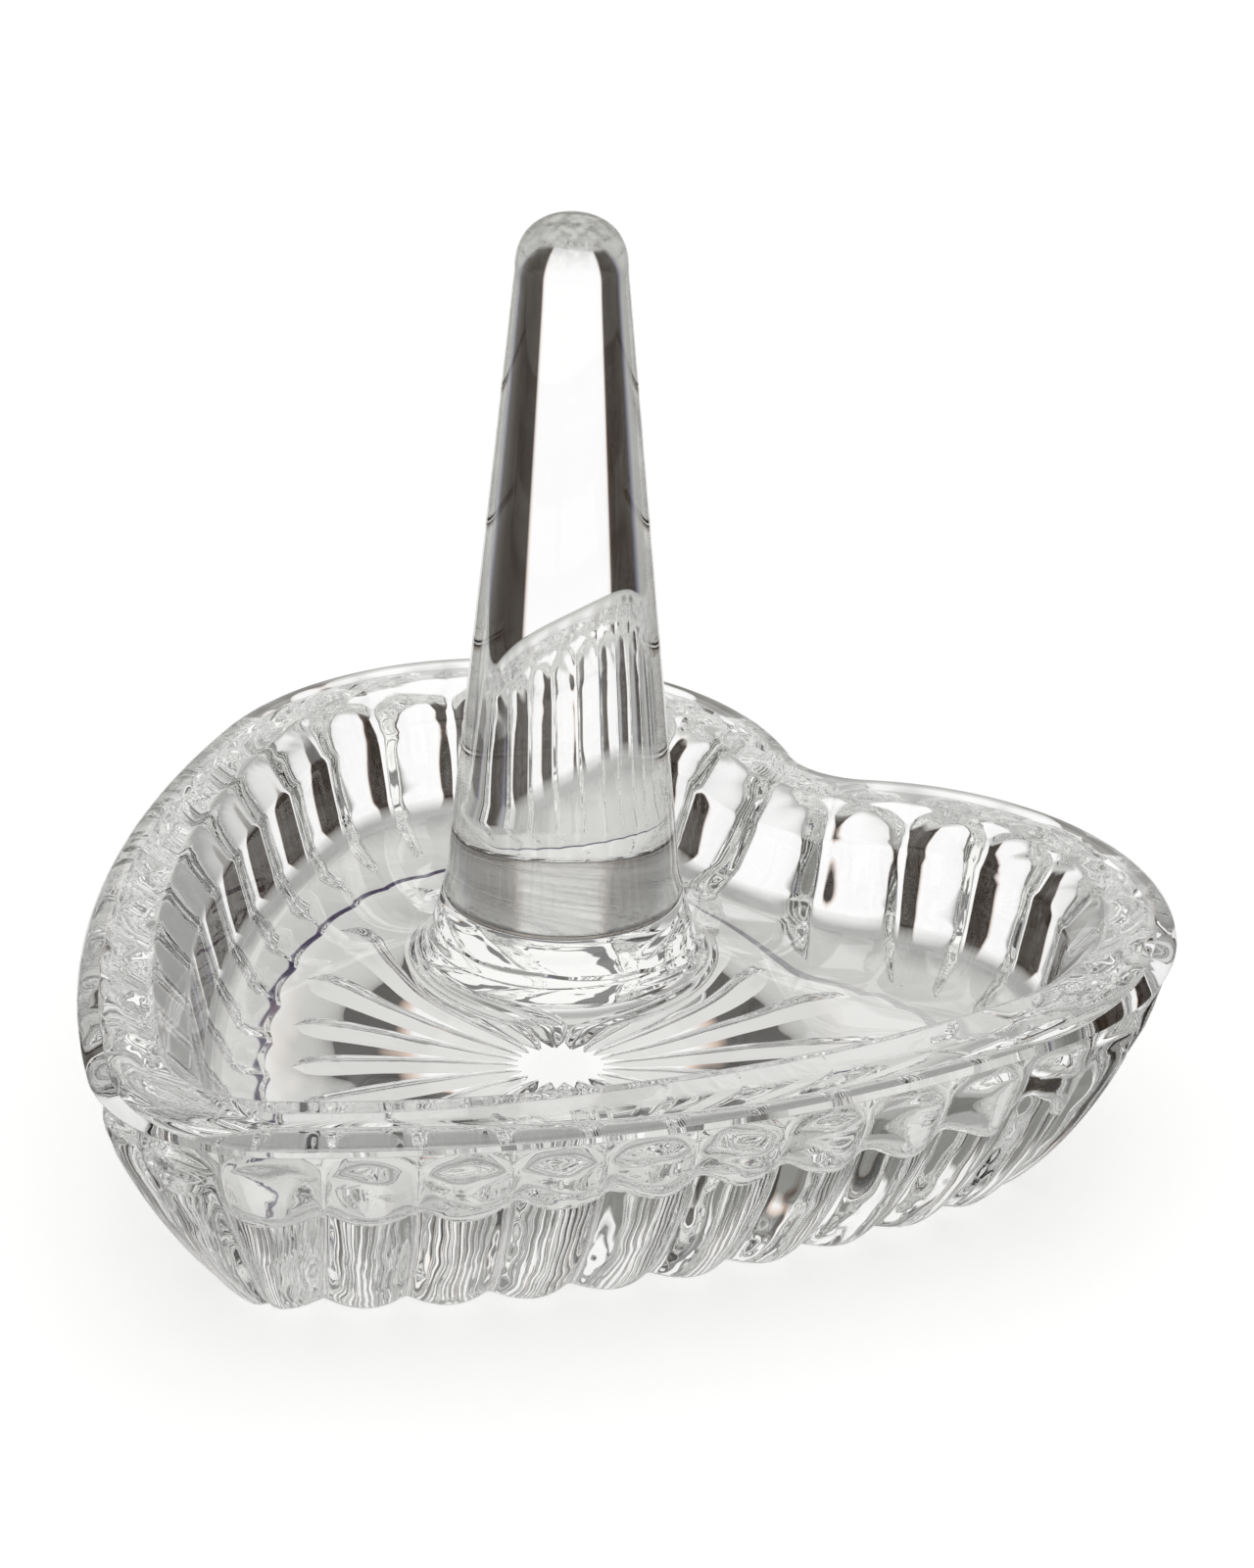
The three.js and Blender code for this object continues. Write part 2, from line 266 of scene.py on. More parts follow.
def uneven_domes():
    """Height at which each reed starts to close, a little different from reed to reed as pressed glass is."""
    draw = np.random.default_rng(PRESSING_SEED).uniform(-1, 1, REED_COUNT)
    crest = 1 - (2 * col_offset) ** 2
    return dome_start + DOME_UNEVENNESS * np.repeat(draw, REED_COLUMNS) * crest


col_dome = uneven_domes()
fold_phases = np.random.default_rng(FOLD_SEED).uniform(0, 2 * math.pi, (len(FOLD_WAVES), REED_COUNT))


def fold_inset(height):
    """Folds that the mould leaves in the heads of the reeds, cut inwards."""
    folds = np.zeros(len(columns))
    for phases, (turns, length) in zip(fold_phases, FOLD_WAVES):
        angle = 2 * math.pi * (turns * col_offset + height / length) + np.repeat(phases, REED_COLUMNS)
        folds += np.sin(angle) / len(FOLD_WAVES)
    crest = 1 - (2 * col_offset) ** 2
    start = np.clip((height - col_dome + FOLD_REACH) / FOLD_REACH, 0, 1)
    end = np.clip((collar_top - height) / COLLAR_HEIGHT, 0, 1)
    return FOLD_DEPTH * (1 + folds) / 2 * crest * start * end


def wall_inset(height):
    rise = (1 - height / widest_height) ** WALL_FULLNESS
    return BASE_INSET * (1 - (1 - rise) ** (1 / WALL_FULLNESS))


def groove_share(offset):
    """How far a reed has fallen from its crest: 0 on the crest, near 1 in the softened groove."""
    across = np.abs(2 * offset)
    soft = across ** GROOVE_SOFTNESS * REED_SQUARENESS / GROOVE_SOFTNESS
    return across ** REED_SQUARENESS - soft


def reeded_inset(height):
    smooth = wall_inset(height)
    depth = REED_DEPTH * np.minimum(1, (col_radius - col_bend * smooth) / col_pitch)
    climb = np.maximum(0, (height - col_dome) / REED_DOME_HEIGHT)
    proud = 1 - groove_share(col_offset) - climb ** 2
    return smooth + depth * (1 - np.maximum(0, proud)) + fold_inset(height)


def inset_ring(inset, height):
    flat = col_point - col_normal * np.asarray(inset).reshape(-1, 1)
    return np.column_stack((flat, np.broadcast_to(height, len(flat))))


def round_ring(radius, height):
    inner = col_point - col_normal * floor_inset
    flat = inner / np.linalg.norm(inner, axis=1, keepdims=True) * radius
    return np.column_stack((flat, np.full(len(flat), height)))


def rounded(profile):
    """Profile of (across, height, round) corners with each corner turned into a short arc."""
    points = [np.array(profile[0][:2], float)]
    for before, corner, after in zip(profile, profile[1:], profile[2:]):
        here = np.array(corner[:2], float)
        back = np.array(before[:2], float) - here
        ahead = np.array(after[:2], float) - here
        reach = corner[2]
        if reach == 0:
            points.append(here)
            continue
        reach = min(reach, LONGEST_ROUND * np.linalg.norm(back), LONGEST_ROUND * np.linalg.norm(ahead))
        start = here + back / np.linalg.norm(back) * reach
        end = here + ahead / np.linalg.norm(ahead) * reach
        for step in range(ROUND_ROWS + 1):
            t = step / ROUND_ROWS
            points.append((1 - t) ** 2 * start + 2 * t * (1 - t) * here + t ** 2 * end)
    points.append(np.array(profile[-1][:2], float))
    return points


def outer_rings():
    """Rings from the base's edge round the heel and up the reeded wall to the foot of the rim's lip."""
    start = np.full(len(columns), HEEL_RISE)
    foot = inset_ring(reeded_inset(start), start)
    scallop = REED_DEPTH * HEEL_SCALLOP * groove_share(col_offset)
    edge = inset_ring(wall_inset(HEEL_RISE) + scallop, 0) * HEEL_SCALE
    rings = [edge]
    brink = edge + np.column_stack((col_normal, np.zeros(len(columns)))) * EDGE_WIDTH
    for row in range(HEEL_ROWS):
        climb = row / HEEL_ROWS
        ring = brink + (foot - brink) * climb
        rise = climb * (1 + HEEL_FULLNESS * climb) / (1 + HEEL_FULLNESS)
        ring[:, 2] = EDGE_RISE + (HEEL_RISE - EDGE_RISE) * rise
        rings.append(ring)
    arch = col_dome + REED_DOME_HEIGHT * np.sqrt(np.maximum(0, 1 - groove_share(col_offset)))
    for row in range(WALL_ROWS + 1):
        height = start + (arch - start) * (row / WALL_ROWS) ** ROW_CROWDING
        rings.append(inset_ring(reeded_inset(height), height))
    for row in range(1, COLLAR_ROWS + 1):
        height = arch + (collar_top - arch) * row / COLLAR_ROWS
        rings.append(inset_ring(reeded_inset(height), height))
    return rings


def rim_rings():
    """Rings from the lip over the rim and the bevel to the head of the inner wall."""
    lip_inset = float(np.max(reeded_inset(np.full(len(columns), collar_top))))
    points = [(lip_inset, collar_top, 0), (OUTLINE_TRIM, widest_height, LIP_ROUND)]
    for step in range(1, ARC_ROWS + 1):
        angle = step / ARC_ROWS * math.pi / 2
        across = OUTLINE_TRIM + (SHOULDER_WIDTH - OUTLINE_TRIM) * (1 - math.cos(angle))
        points.append((across, widest_height + SHOULDER_DROP * math.sin(angle), 0))
    points.append((land_inset, DISH_HEIGHT, EDGE_ROUND))
    points.append((bevel_inset, DISH_HEIGHT - BEVEL_DROP, EDGE_ROUND))
    points.append((wall_foot_inset, FLOOR_THICKNESS + FLOOR_FILLET, 0))
    return [inset_ring(inset, height) for inset, height in rounded(points)[1:-1]]


def boss_flare():
    """Centre of the boss's fillet, which runs from the drafted side into the rising floor."""
    lean = math.atan(FLOOR_RISE_SLOPE)
    head = BOSS_RADIUS + BOSS_FILLET * math.cos(BOSS_DRAFT)
    head += (boss_top + BOSS_FILLET * math.sin(BOSS_DRAFT)) * math.tan(BOSS_DRAFT)
    reach = FLOOR_RISE_RADIUS + BOSS_FILLET * math.sin(lean) - head
    low = FLOOR_THICKNESS + BOSS_FILLET * math.cos(lean) + FLOOR_RISE_SLOPE / 2 * reach
    height = low / (1 - FLOOR_RISE_SLOPE / 2 * math.tan(BOSS_DRAFT))
    return head - height * math.tan(BOSS_DRAFT), height, lean


flare_radius, flare_height, flare_lean = boss_flare()
flare_foot = flare_radius - BOSS_FILLET * math.sin(flare_lean)


def floor_height(radius):
    """Height of the floor, which rises towards the boss."""
    short = np.maximum(0, FLOOR_RISE_RADIUS - radius)
    return FLOOR_THICKNESS + FLOOR_RISE_SLOPE / 2 * short ** 2 / (FLOOR_RISE_RADIUS - flare_foot)


def fillet_rings():
    """Rings round the fillet between the inner wall and the floor."""
    level = floor_height(np.linalg.norm(col_point - col_normal * floor_inset, axis=1))
    rings = []
    for step in range(ARC_ROWS + 1):
        angle = step / ARC_ROWS * math.pi / 2
        inset = np.full(len(columns), wall_foot_inset + FLOOR_FILLET * (1 - math.cos(angle)))
        rings.append(inset_ring(inset, level + FLOOR_FILLET * (1 - math.sin(angle))))
    return rings


def floor_rings():
    """Rings up the floor from the fillet to the boss's flare."""
    inner = col_point - col_normal * floor_inset
    reach = np.linalg.norm(inner, axis=1)
    rings = []
    for step in range(1, FLOOR_ROWS):
        radius = reach + (flare_foot - reach) * step / FLOOR_ROWS
        flat = inner * (radius / reach)[:, None]
        rings.append(np.column_stack((flat, floor_height(radius))))
    return rings


def boss_profile():
    """Radius and height from the floor up the fillet and the drafted side to the boss's top."""
    points = []
    for step in range(2 * ARC_ROWS + 1):
        lean = flare_lean + (math.pi / 2 - BOSS_DRAFT - flare_lean) * step / (2 * ARC_ROWS)
        points.append((flare_radius - BOSS_FILLET * math.sin(lean),
                       flare_height - BOSS_FILLET * math.cos(lean)))
    points.append((BOSS_RADIUS, boss_top))
    points.append((BOSS_RADIUS - BOND_SETBACK, boss_top))
    points.append((BOSS_RADIUS / 2, boss_top))
    return points


def edge_reach(ring, angle):
    """Distance from the axis to the ring in a direction."""
    across = np.array((-math.sin(angle), math.cos(angle)))
    ahead = np.array((math.cos(angle), math.sin(angle)))
    flat = ring[:, :2]
    after = np.roll(flat, -1, axis=0)
    side_a = flat @ across
    side_b = after @ across
    hit = (side_a <= 0) & (side_b > 0) & (flat @ ahead > 0)
    share = side_a[hit] / (side_a[hit] - side_b[hit])
    crossing = flat[hit] + (after[hit] - flat[hit]) * share[:, None]
    return float(np.max(np.linalg.norm(crossing, axis=1)))


def ray_fullness(share):
    """Width and depth of a star cut along its length, as a share of its fullest."""
    if share <= RAY_FULLEST_AT:
        return 1 - RAY_NARROWING * (1 - share / RAY_FULLEST_AT)
    past = (share - RAY_FULLEST_AT) / (1 - RAY_FULLEST_AT)
    return math.sqrt(max(0, 1 - past ** 2))


def base_faces(ring):
    """Flat base inside a ring, with star cuts: points as (x, y, z) and faces that index them."""
    flat = [Vector(p[:2]) for p in ring]
    depth = [0.0] * len(flat)
    edges = [(i, (i + 1) % len(flat)) for i in range(len(flat))]
    cuts = []
    for ray in range(STAR_RAYS):
        angle = (ray + 0.5) / STAR_RAYS * 2 * math.pi
        out = Vector((math.cos(angle), math.sin(angle)))
        aside = Vector((-out.y, out.x))
        reach = edge_reach(ring, angle) - STAR_MARGIN
        lines = [[] for _ in RAY_LINES]
        for step in range(RAY_POINTS + 1):
            share = step / RAY_POINTS
            middle = out * (STAR_HUB_RADIUS + (reach - STAR_HUB_RADIUS) * share)
            full = ray_fullness(share)
            widest = 2 * RAY_SHARE * middle.length * math.tan(math.pi / STAR_RAYS)
            width = min(widest, RAY_WIDTH * full)
            ends = step in (0, RAY_POINTS)
            for line, shift in zip(lines, RAY_LINES):
                if ends and shift:
                    line.append(lines[0][-1])
                    continue
                line.append(len(flat))
                flat.append(middle + aside * (shift * width / 2))
                hollow = 0.0 if ends else (1 + math.cos(math.pi * shift)) / 2
                depth.append(RAY_DEPTH * width / RAY_WIDTH * hollow)
        for line in lines:
            edges += list(zip(line, line[1:]))
        cuts.append([line for _, line in sorted(zip(RAY_LINES, lines))])
    outline = [list(range(len(ring)))]
    points, _, faces, origins, _, _ = delaunay_2d_cdt(flat, edges, outline, INSIDE_ONLY, CUT_TOLERANCE)
    places = []
    for point, origin in zip(points, origins):
        places.append((origin[0], (point.x, point.y, depth[origin[0]])))
    return places, ray_quads(faces, origins, cuts)


def ray_quads(faces, origins, cuts):
    """Faces with the triangles inside each star cut replaced by quads along the cut."""
    spot = {index: number for number, origin in enumerate(origins) for index in origin}
    owner = {}
    for ray, lines in enumerate(cuts):
        owner.update({spot[index]: ray for line in lines for index in line})
    result = []
    for face in faces:
        rays = {owner.get(number) for number in face}
        if None in rays or len(rays) > 1:
            result.append(list(face))
    for lines in cuts:
        for low, high in zip(lines, lines[1:]):
            for step in range(RAY_POINTS):
                corners = (low[step], low[step + 1], high[step + 1], high[step])
                result.append(list(dict.fromkeys(spot[index] for index in corners)))
    return result


def make_piece(name, points, faces, flat_faces=()):
    mesh = bpy.data.meshes.new(name)
    mesh.from_pydata([tuple(np.array(p) * MM) for p in points], [], faces)
    smooth = np.ones(len(faces), bool)
    smooth[list(flat_faces)] = False
    mesh.polygons.foreach_set("use_smooth", smooth)
    mesh.validate()
    mesh.update()
    piece = bpy.data.objects.new(name, mesh)
    bpy.context.scene.collection.objects.link(piece)
    return piece


def lofted(rings):
    """Quads between rings of equal length."""
    count = len(rings[0])
    faces = []
    for row in range(len(rings) - 1):
        for col in range(count):
            here = row * count + col
            after = row * count + (col + 1) % count
            faces.append((here, after, after + count, here + count))
    return faces


def fanned(first, count, tip):
    """Triangles from a ring to a point."""
    return [(first + col, first + (col + 1) % count, tip) for col in range(count)]


def make_dish():
    outside = outer_rings()
    rings = outside + rim_rings() + fillet_rings() + floor_rings()
    rings += [round_ring(radius, height) for radius, height in boss_profile()]
    count = len(columns)
    points = list(np.concatenate(rings))
    faces = lofted(rings)
    faces += fanned(len(points) - count, count, len(points))
    points.append(np.array((0, 0, boss_top)))
    places, base = base_faces(outside[0])
    index = {}
    for number, (origin, place) in enumerate(places):
        if origin < count:
            index[number] = origin
        else:
            index[number] = len(points)
            points.append(np.array(place))
    plain = []
    for face in base:
        if max(places[i][1][2] for i in face) == 0:
            plain.append(len(faces))
        faces.append(tuple(index[i] for i in reversed(face)))
    piece = make_piece("dish_crystal_body", points, faces, plain)
    pressed = np.zeros(len(piece.data.polygons), int)
    pressed[:len(outside) * count] = 1
    piece.data.polygons.foreach_set("material_index", pressed)
    return piece


def lathed_faces(profile):
    """Closed solid of revolution from (radius, height) pairs listed upwards; the ends close on the axis."""
    angles = np.linspace(0, 2 * math.pi, POST_COLUMNS, endpoint=False)
    circle = np.column_stack((np.cos(angles), np.sin(angles)))
    rings = [np.column_stack((circle * r, np.full(POST_COLUMNS, z))) for r, z in profile]
    points = list(np.concatenate(rings))
    faces = lofted(rings)
    faces += fanned(len(points) - POST_COLUMNS, POST_COLUMNS, len(points))
    points.append(np.array((0, 0, profile[-1][1])))
    foot = [tuple(reversed(face)) for face in fanned(0, POST_COLUMNS, len(points))]
    points.append(np.array((0, 0, profile[0][1])))
    return points, faces + foot, range(len(faces), len(faces) + len(foot))


def make_post():
    taper_foot = BOSS_RADIUS - POST_FOOT_FLARE
    dome_foot = post_top - POST_DOME_HEIGHT
    profile = [(BOSS_RADIUS - EDGE_ROUND, post_foot), (BOSS_RADIUS, post_foot)]
    for step in range(1, ARC_ROWS + 1):
        climb = step / ARC_ROWS
        profile.append((taper_foot + POST_FOOT_FLARE * (1 - climb) ** 2,
                        post_foot + POST_FLARE_HEIGHT * climb))
    taper_start = post_foot + POST_FLARE_HEIGHT
    for step in range(1, POST_ROWS):
        climb = step / POST_ROWS
        profile.append((taper_foot + (POST_TOP_RADIUS - taper_foot) * climb,
                        taper_start + (dome_foot - taper_start) * climb))
    for step in range(2 * ARC_ROWS):
        angle = step / (2 * ARC_ROWS) * math.pi / 2
        profile.append((POST_TOP_RADIUS * math.cos(angle) ** (2 / POST_DOME_SQUARENESS),
                        dome_foot + POST_DOME_HEIGHT * math.sin(angle) ** (2 / POST_DOME_SQUARENESS)))
    profile.append((POST_TIP_RADIUS, post_top))
    return make_piece("post_crystal_body", *lathed_faces(profile))


def make_bond():
    """Film that wets both faces, with a hollow meniscus at its edge and clusters of trapped bubbles."""
    edge = BOSS_RADIUS - BOND_SETBACK
    foot = boss_top - JOINT_OVERLAP
    top = post_foot + JOINT_OVERLAP
    middle = (foot + top) / 2
    profile = [(edge - EDGE_ROUND, foot), (edge, foot), (edge - MENISCUS, middle), (edge, top)]
    profile += [(edge * share, top) for share in FILM_RINGS]
    points, faces, foot_faces = lathed_faces(profile)
    solid = len(faces)
    for spot, size in bubble_spots(edge - BUBBLE_MARGIN):
        add_bubble(points, faces, (*spot, middle), size, min(size, BUBBLE_HEIGHT))
    piece = make_piece("bond_film", points, faces, foot_faces)
    airy = np.zeros(len(piece.data.polygons), int)
    airy[solid:] = 1
    piece.data.polygons.foreach_set("material_index", airy)
    return piece


def bubble_spots(limit):
    """Places and radii of the bubbles, in clusters, apart from each other and inside the film's edge."""
    draw = np.random.default_rng(BUBBLE_SEED)
    spots = []
    for number, centre in enumerate(BUBBLE_CLUSTERS, 1):
        while len(spots) < number * BUBBLE_COUNT:
            spot = np.array(centre) + draw.normal(0, 1, 2) * BUBBLE_SPREAD
            size = draw.uniform(*BUBBLE_RADIUS)
            apart = all(np.linalg.norm(spot - other) > size + radius for other, radius in spots)
            if apart and np.linalg.norm(spot) + size < limit:
                spots.append((spot, size))
    return spots


def add_bubble(points, faces, centre, radius, half_height):
    """Flattened hollow sphere: its faces look into the hollow."""
    first = len(points)
    for row in range(1, BUBBLE_ROWS):
        polar = row / BUBBLE_ROWS * math.pi
        for col in range(BUBBLE_COLUMNS):
            turn = col / BUBBLE_COLUMNS * 2 * math.pi
            points.append(np.array(centre) + np.array((
                radius * math.sin(polar) * math.cos(turn),
                radius * math.sin(polar) * math.sin(turn),
                half_height * math.cos(polar))))
    points.append(np.array(centre) + np.array((0, 0, half_height)))
    points.append(np.array(centre) - np.array((0, 0, half_height)))
    top = len(points) - 2
    for col in range(BUBBLE_COLUMNS):
        after = (col + 1) % BUBBLE_COLUMNS
        faces.append((first + after, first + col, top))
        for row in range(BUBBLE_ROWS - 2):
            here = first + row * BUBBLE_COLUMNS
            below = here + BUBBLE_COLUMNS
            faces.append((here + col, here + after, below + after, below + col))
        last = first + (BUBBLE_ROWS - 2) * BUBBLE_COLUMNS
        faces.append((last + col, last + after, top + 1))


def linked_noise(tree, scale, detail, stretch=(1, 1, 1)):
    """Noise in the object's own coordinates; the scale is in features to the metre."""
    place = tree.nodes.new("ShaderNodeTexCoord")
    mapping = tree.nodes.new("ShaderNodeMapping")
    mapping.inputs["Scale"].default_value = stretch
    tree.links.new(place.outputs["Object"], mapping.inputs["Vector"])
    noise = tree.nodes.new("ShaderNodeTexNoise")
    noise.inputs["Scale"].default_value = scale
    noise.inputs["Detail"].default_value = detail
    tree.links.new(mapping.outputs["Vector"], noise.inputs["Vector"])
    return noise.outputs["Fac"]


def linked_range(tree, value, from_low, from_high, to_low=0, to_high=1):
    span = tree.nodes.new("ShaderNodeMapRange")
    span.inputs["From Min"].default_value = from_low
    span.inputs["From Max"].default_value = from_high
    span.inputs["To Min"].default_value = to_low
    span.inputs["To Max"].default_value = to_high
    tree.links.new(value, span.inputs["Value"])
    return span.outputs["Result"]


def linked_math(tree, operation, first, second):
    node = tree.nodes.new("ShaderNodeMath")
    node.operation = operation
    tree.links.new(first, node.inputs[0])
    tree.links.new(second, node.inputs[1])
    return node.outputs[0]


def linked_bump(tree, shader, height, distance):
    bump = tree.nodes.new("ShaderNodeBump")
    bump.inputs["Distance"].default_value = distance * MM
    tree.links.new(height, bump.inputs["Height"])
    tree.links.new(bump.outputs["Normal"], shader.inputs["Normal"])


def new_material(name, colour):
    material = bpy.data.materials.new(name)
    material.use_nodes = True
    shader = material.node_tree.nodes["Principled BSDF"]
    shader.inputs["Base Color"].default_value = (*colour, 1)
    return material, material.node_tree, shader


def crystal_material(name, wave_width, wave_height):
    """Clear crystal with slow waves in its polish."""
    material, tree, shader = new_material(name, CRYSTAL_COLOUR)
    shader.inputs["Transmission Weight"].default_value = 1
    shader.inputs["Roughness"].default_value = 0
    shader.inputs["IOR"].default_value = CRYSTAL_IOR
    linked_bump(tree, shader, linked_noise(tree, 1 / (wave_width * MM), WAVE_DETAIL), wave_height)
    return material


def frosted_shaded_tip(material):
    """Frosty finish on the dome of the post, with a mottled grey painted shade that darkens it towards the
    top.
    """
    tree = material.node_tree
    shader = tree.nodes["Principled BSDF"]
    place = tree.nodes.new("ShaderNodeTexCoord")
    axes = tree.nodes.new("ShaderNodeSeparateXYZ")
    tree.links.new(place.outputs["Object"], axes.inputs[0])
    frost_from = (post_top - FROST_REACH) * MM
    height = linked_range(tree, axes.outputs["Z"], frost_from, (post_top - FROST_FULL) * MM)
    noise = linked_noise(tree, 1 / (FROST_GRAIN * MM), FROST_DETAIL)
    grain = linked_range(tree, noise, *FROST_SPAN, *FROST_ROUGHNESS)
    tree.links.new(linked_math(tree, "MULTIPLY", height, grain), shader.inputs["Roughness"])
    # Painted shade: a mottled grey, mixed into the white colour more and more towards the top of the dome
    tip_shade = mixed(tree, linked_range(tree, noise, *TIP_SHADE_SPAN), TIP_SHADE_DARK, TIP_SHADE_PALE)
    shade_towards_top = linked_range(tree, axes.outputs["Z"], (post_top - TIP_SHADE_REACH) * MM, post_top * MM)
    tree.links.new(mixed(tree, shade_towards_top, CRYSTAL_COLOUR, tip_shade), shader.inputs["Base Color"])
    return material


def film_material():
    """Cured film: grey and translucent, with drawn-out scratches and a darker, browner edge."""
    material, tree, shader = new_material("cured_film", FILM_COLOUR)
    shader.inputs["Transmission Weight"].default_value = 1
    shader.inputs["IOR"].default_value = FILM_IOR
    scratch = linked_noise(tree, SCRATCH_SCALE, SCRATCH_DETAIL, SCRATCH_STRETCH)
    rough = linked_range(tree, scratch, *SCRATCH_SPAN, *FILM_ROUGHNESS)
    tree.links.new(rough, shader.inputs["Roughness"])
    linked_bump(tree, shader, scratch, FILM_RELIEF)
    place = tree.nodes.new("ShaderNodeTexCoord")
    axes = tree.nodes.new("ShaderNodeVectorMath")
    axes.operation = "MULTIPLY"
    axes.inputs[1].default_value = (1, 1, 0)
    tree.links.new(place.outputs["Object"], axes.inputs[0])
    radius = tree.nodes.new("ShaderNodeVectorMath")
    radius.operation = "LENGTH"
    tree.links.new(axes.outputs["Vector"], radius.inputs[0])
    edge = (BOSS_RADIUS - BOND_SETBACK) * MM
    rim = linked_range(tree, radius.outputs["Value"], FILM_BROWN_FROM * edge, FILM_BROWN_FULL * edge)
    grey = mixed(tree, linked_range(tree, scratch, *SCRATCH_GREY_SPAN), FILM_GREY, FILM_PALE)
    tree.links.new(mixed(tree, rim, grey, FILM_BROWN), shader.inputs["Base Color"])
    return material


def mixed(tree, factor, first, second, blend="MIX"):
    mix = tree.nodes.new("ShaderNodeMix")
    mix.data_type = "RGBA"
    mix.blend_type = blend
    for name, value in (("Factor", factor), (MIX_FIRST, first), (MIX_SECOND, second)):
        socket = mix.inputs[name]
        if isinstance(value, bpy.types.NodeSocket):
            tree.links.new(value, socket)
        elif isinstance(value, tuple):
            socket.default_value = (*value, 1)
        else:
            socket.default_value = value
    return mix.outputs[MIX_RESULT]


dish = make_dish()
post = make_post()
bond = make_bond()
pieces = (
    (dish, "heart_dish", "dish_crystal"),
    (post, "ring_post", "post_crystal"),
    (bond, "post_bond", "bond_film"),
)
for piece, node, slot in pieces:
    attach(piece, "root")
    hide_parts(node)

dish.data.materials.append(crystal_material("dish_crystal", *DISH_WAVES))
dish.data.materials.append(crystal_material("pressed_crystal", *PRESSED_WAVES))
post.data.materials.append(frosted_shaded_tip(crystal_material("post_crystal", *POST_WAVES)))
bond.data.materials.append(film_material())
bond.data.materials.append(crystal_material("bubble_wall", *BUBBLE_WAVES))

# Floor and studio surroundings, with the floor's sizes in metres and the shade's in millimetres
STUDIO_HEADING = math.radians(128.56)
SHADE_STEP = 3
PANEL_WHITE = (1, 1, 1)
BACK_WHITE = (1, 1, 0.97)
FLAG_DARK = (0.018, 0.009, 0.003)
SIDE_GREY = (0.4, 0.4, 0.38)
SIDE_DARK = (0.16, 0.16, 0.15)
WARM_FRINGE = (0.5, 0.24, 0.1)
COOL_FRINGE = (0.12, 0.12, 0.2)
GAP_DARK = (0.2, 0.2, 0.2)
UPPER_DARK = (0.08, 0.075, 0.07)
TOP_WHITE = (0.97, 0.97, 0.95)
UPPER_WHITE = (0.97, 0.97, 0.96)
FORWARD_DIM = (0.22, 0.22, 0.21)
NADIR_GREY = (0.65, 0.65, 0.63)
# Painted light and shade on the table round the base: lit under the base, a dark contact-shadow line at its
# edge, dimmer further out, lighter behind the object than towards the camera
TABLE_BACKLIGHT = 0.12
TABLE_LIT = (0.74, 0.74, 0.72)
TABLE_SOFT = (0.62, 0.62, 0.6)
TABLE_DIM = (0.38, 0.38, 0.37)
# Painted contact shadow: dark line on the table at the base's edge, and how far and over what span it is
# lightened towards the right
EDGE_SHADOW = (0.05, 0.035, 0.08)
EDGE_SHADOW_LIGHTENING = 0.8
EDGE_SHADOW_LIGHTENING_SPAN = 25
TABLE_SPAN = 50
TABLE_MIDDLE = 0.01
FLOOR_HALF_WIDTH = 6.0
FLOOR_COLOUR = (0.8, 0.8, 0.8)
FLOOR_GLOW = 0.58
FLOOR_DEPTH = 0.0003
TABLE_DEPTH = 0.00025
HORIZON = (0, 0.1)
STRIP_FOOT = (-0.24, -0.14)
STRIP_TOP = (0.24, 0.3)
STRIP_AHEAD = (0, 0.3)
GAP_FOOT = (0.6, 0.66)
CROWN_FOOT = (0.8, 0.82)
NADIR_TOP = (-0.79, -0.87)

# Painted shade on the table, seen only in the glass, with a painted contact-shadow line at the base's edge:
# distance out from the base's edge, colour and cover
TABLE_STOPS = (
    (-40, TABLE_LIT, 1), (-0.15, TABLE_LIT, 1), (0, EDGE_SHADOW, 1), (0.9, EDGE_SHADOW, 1),
    (1.2, TABLE_SOFT, 1), (9, TABLE_SOFT, 1), (14, TABLE_DIM, 1), (20, TABLE_DIM, 1), (34, TABLE_SOFT, 0),
)

# Cards round the object: heading in degrees from straight ahead, and colour
LEFT_CARDS = (
    (-180, BACK_WHITE), (-135, BACK_WHITE), (-112, SIDE_GREY), (-104, SIDE_DARK),
    (-84, SIDE_DARK), (-72, SIDE_GREY), (-58, SIDE_GREY), (-52, COOL_FRINGE),
)
RIGHT_CARDS = (
    (82, SIDE_DARK), (100, SIDE_DARK), (112, SIDE_GREY), (135, BACK_WHITE), (180, BACK_WHITE),
)
LOWER_WINDOW = (
    (-49, FLAG_DARK), (-26.8, FLAG_DARK), (-26, WARM_FRINGE), (-25.2, PANEL_WHITE), (22.2, PANEL_WHITE),
    (23, WARM_FRINGE), (23.8, FLAG_DARK), (58, FLAG_DARK), (62, COOL_FRINGE), (70, SIDE_GREY),
)
UPPER_WINDOW = (
    (-49, UPPER_DARK), (-18, UPPER_DARK), (-17.2, WARM_FRINGE), (-16.4, UPPER_WHITE), (16.4, UPPER_WHITE),
    (17.2, WARM_FRINGE), (18, UPPER_DARK), (50, UPPER_DARK), (54, COOL_FRINGE), (62, SIDE_GREY),
)


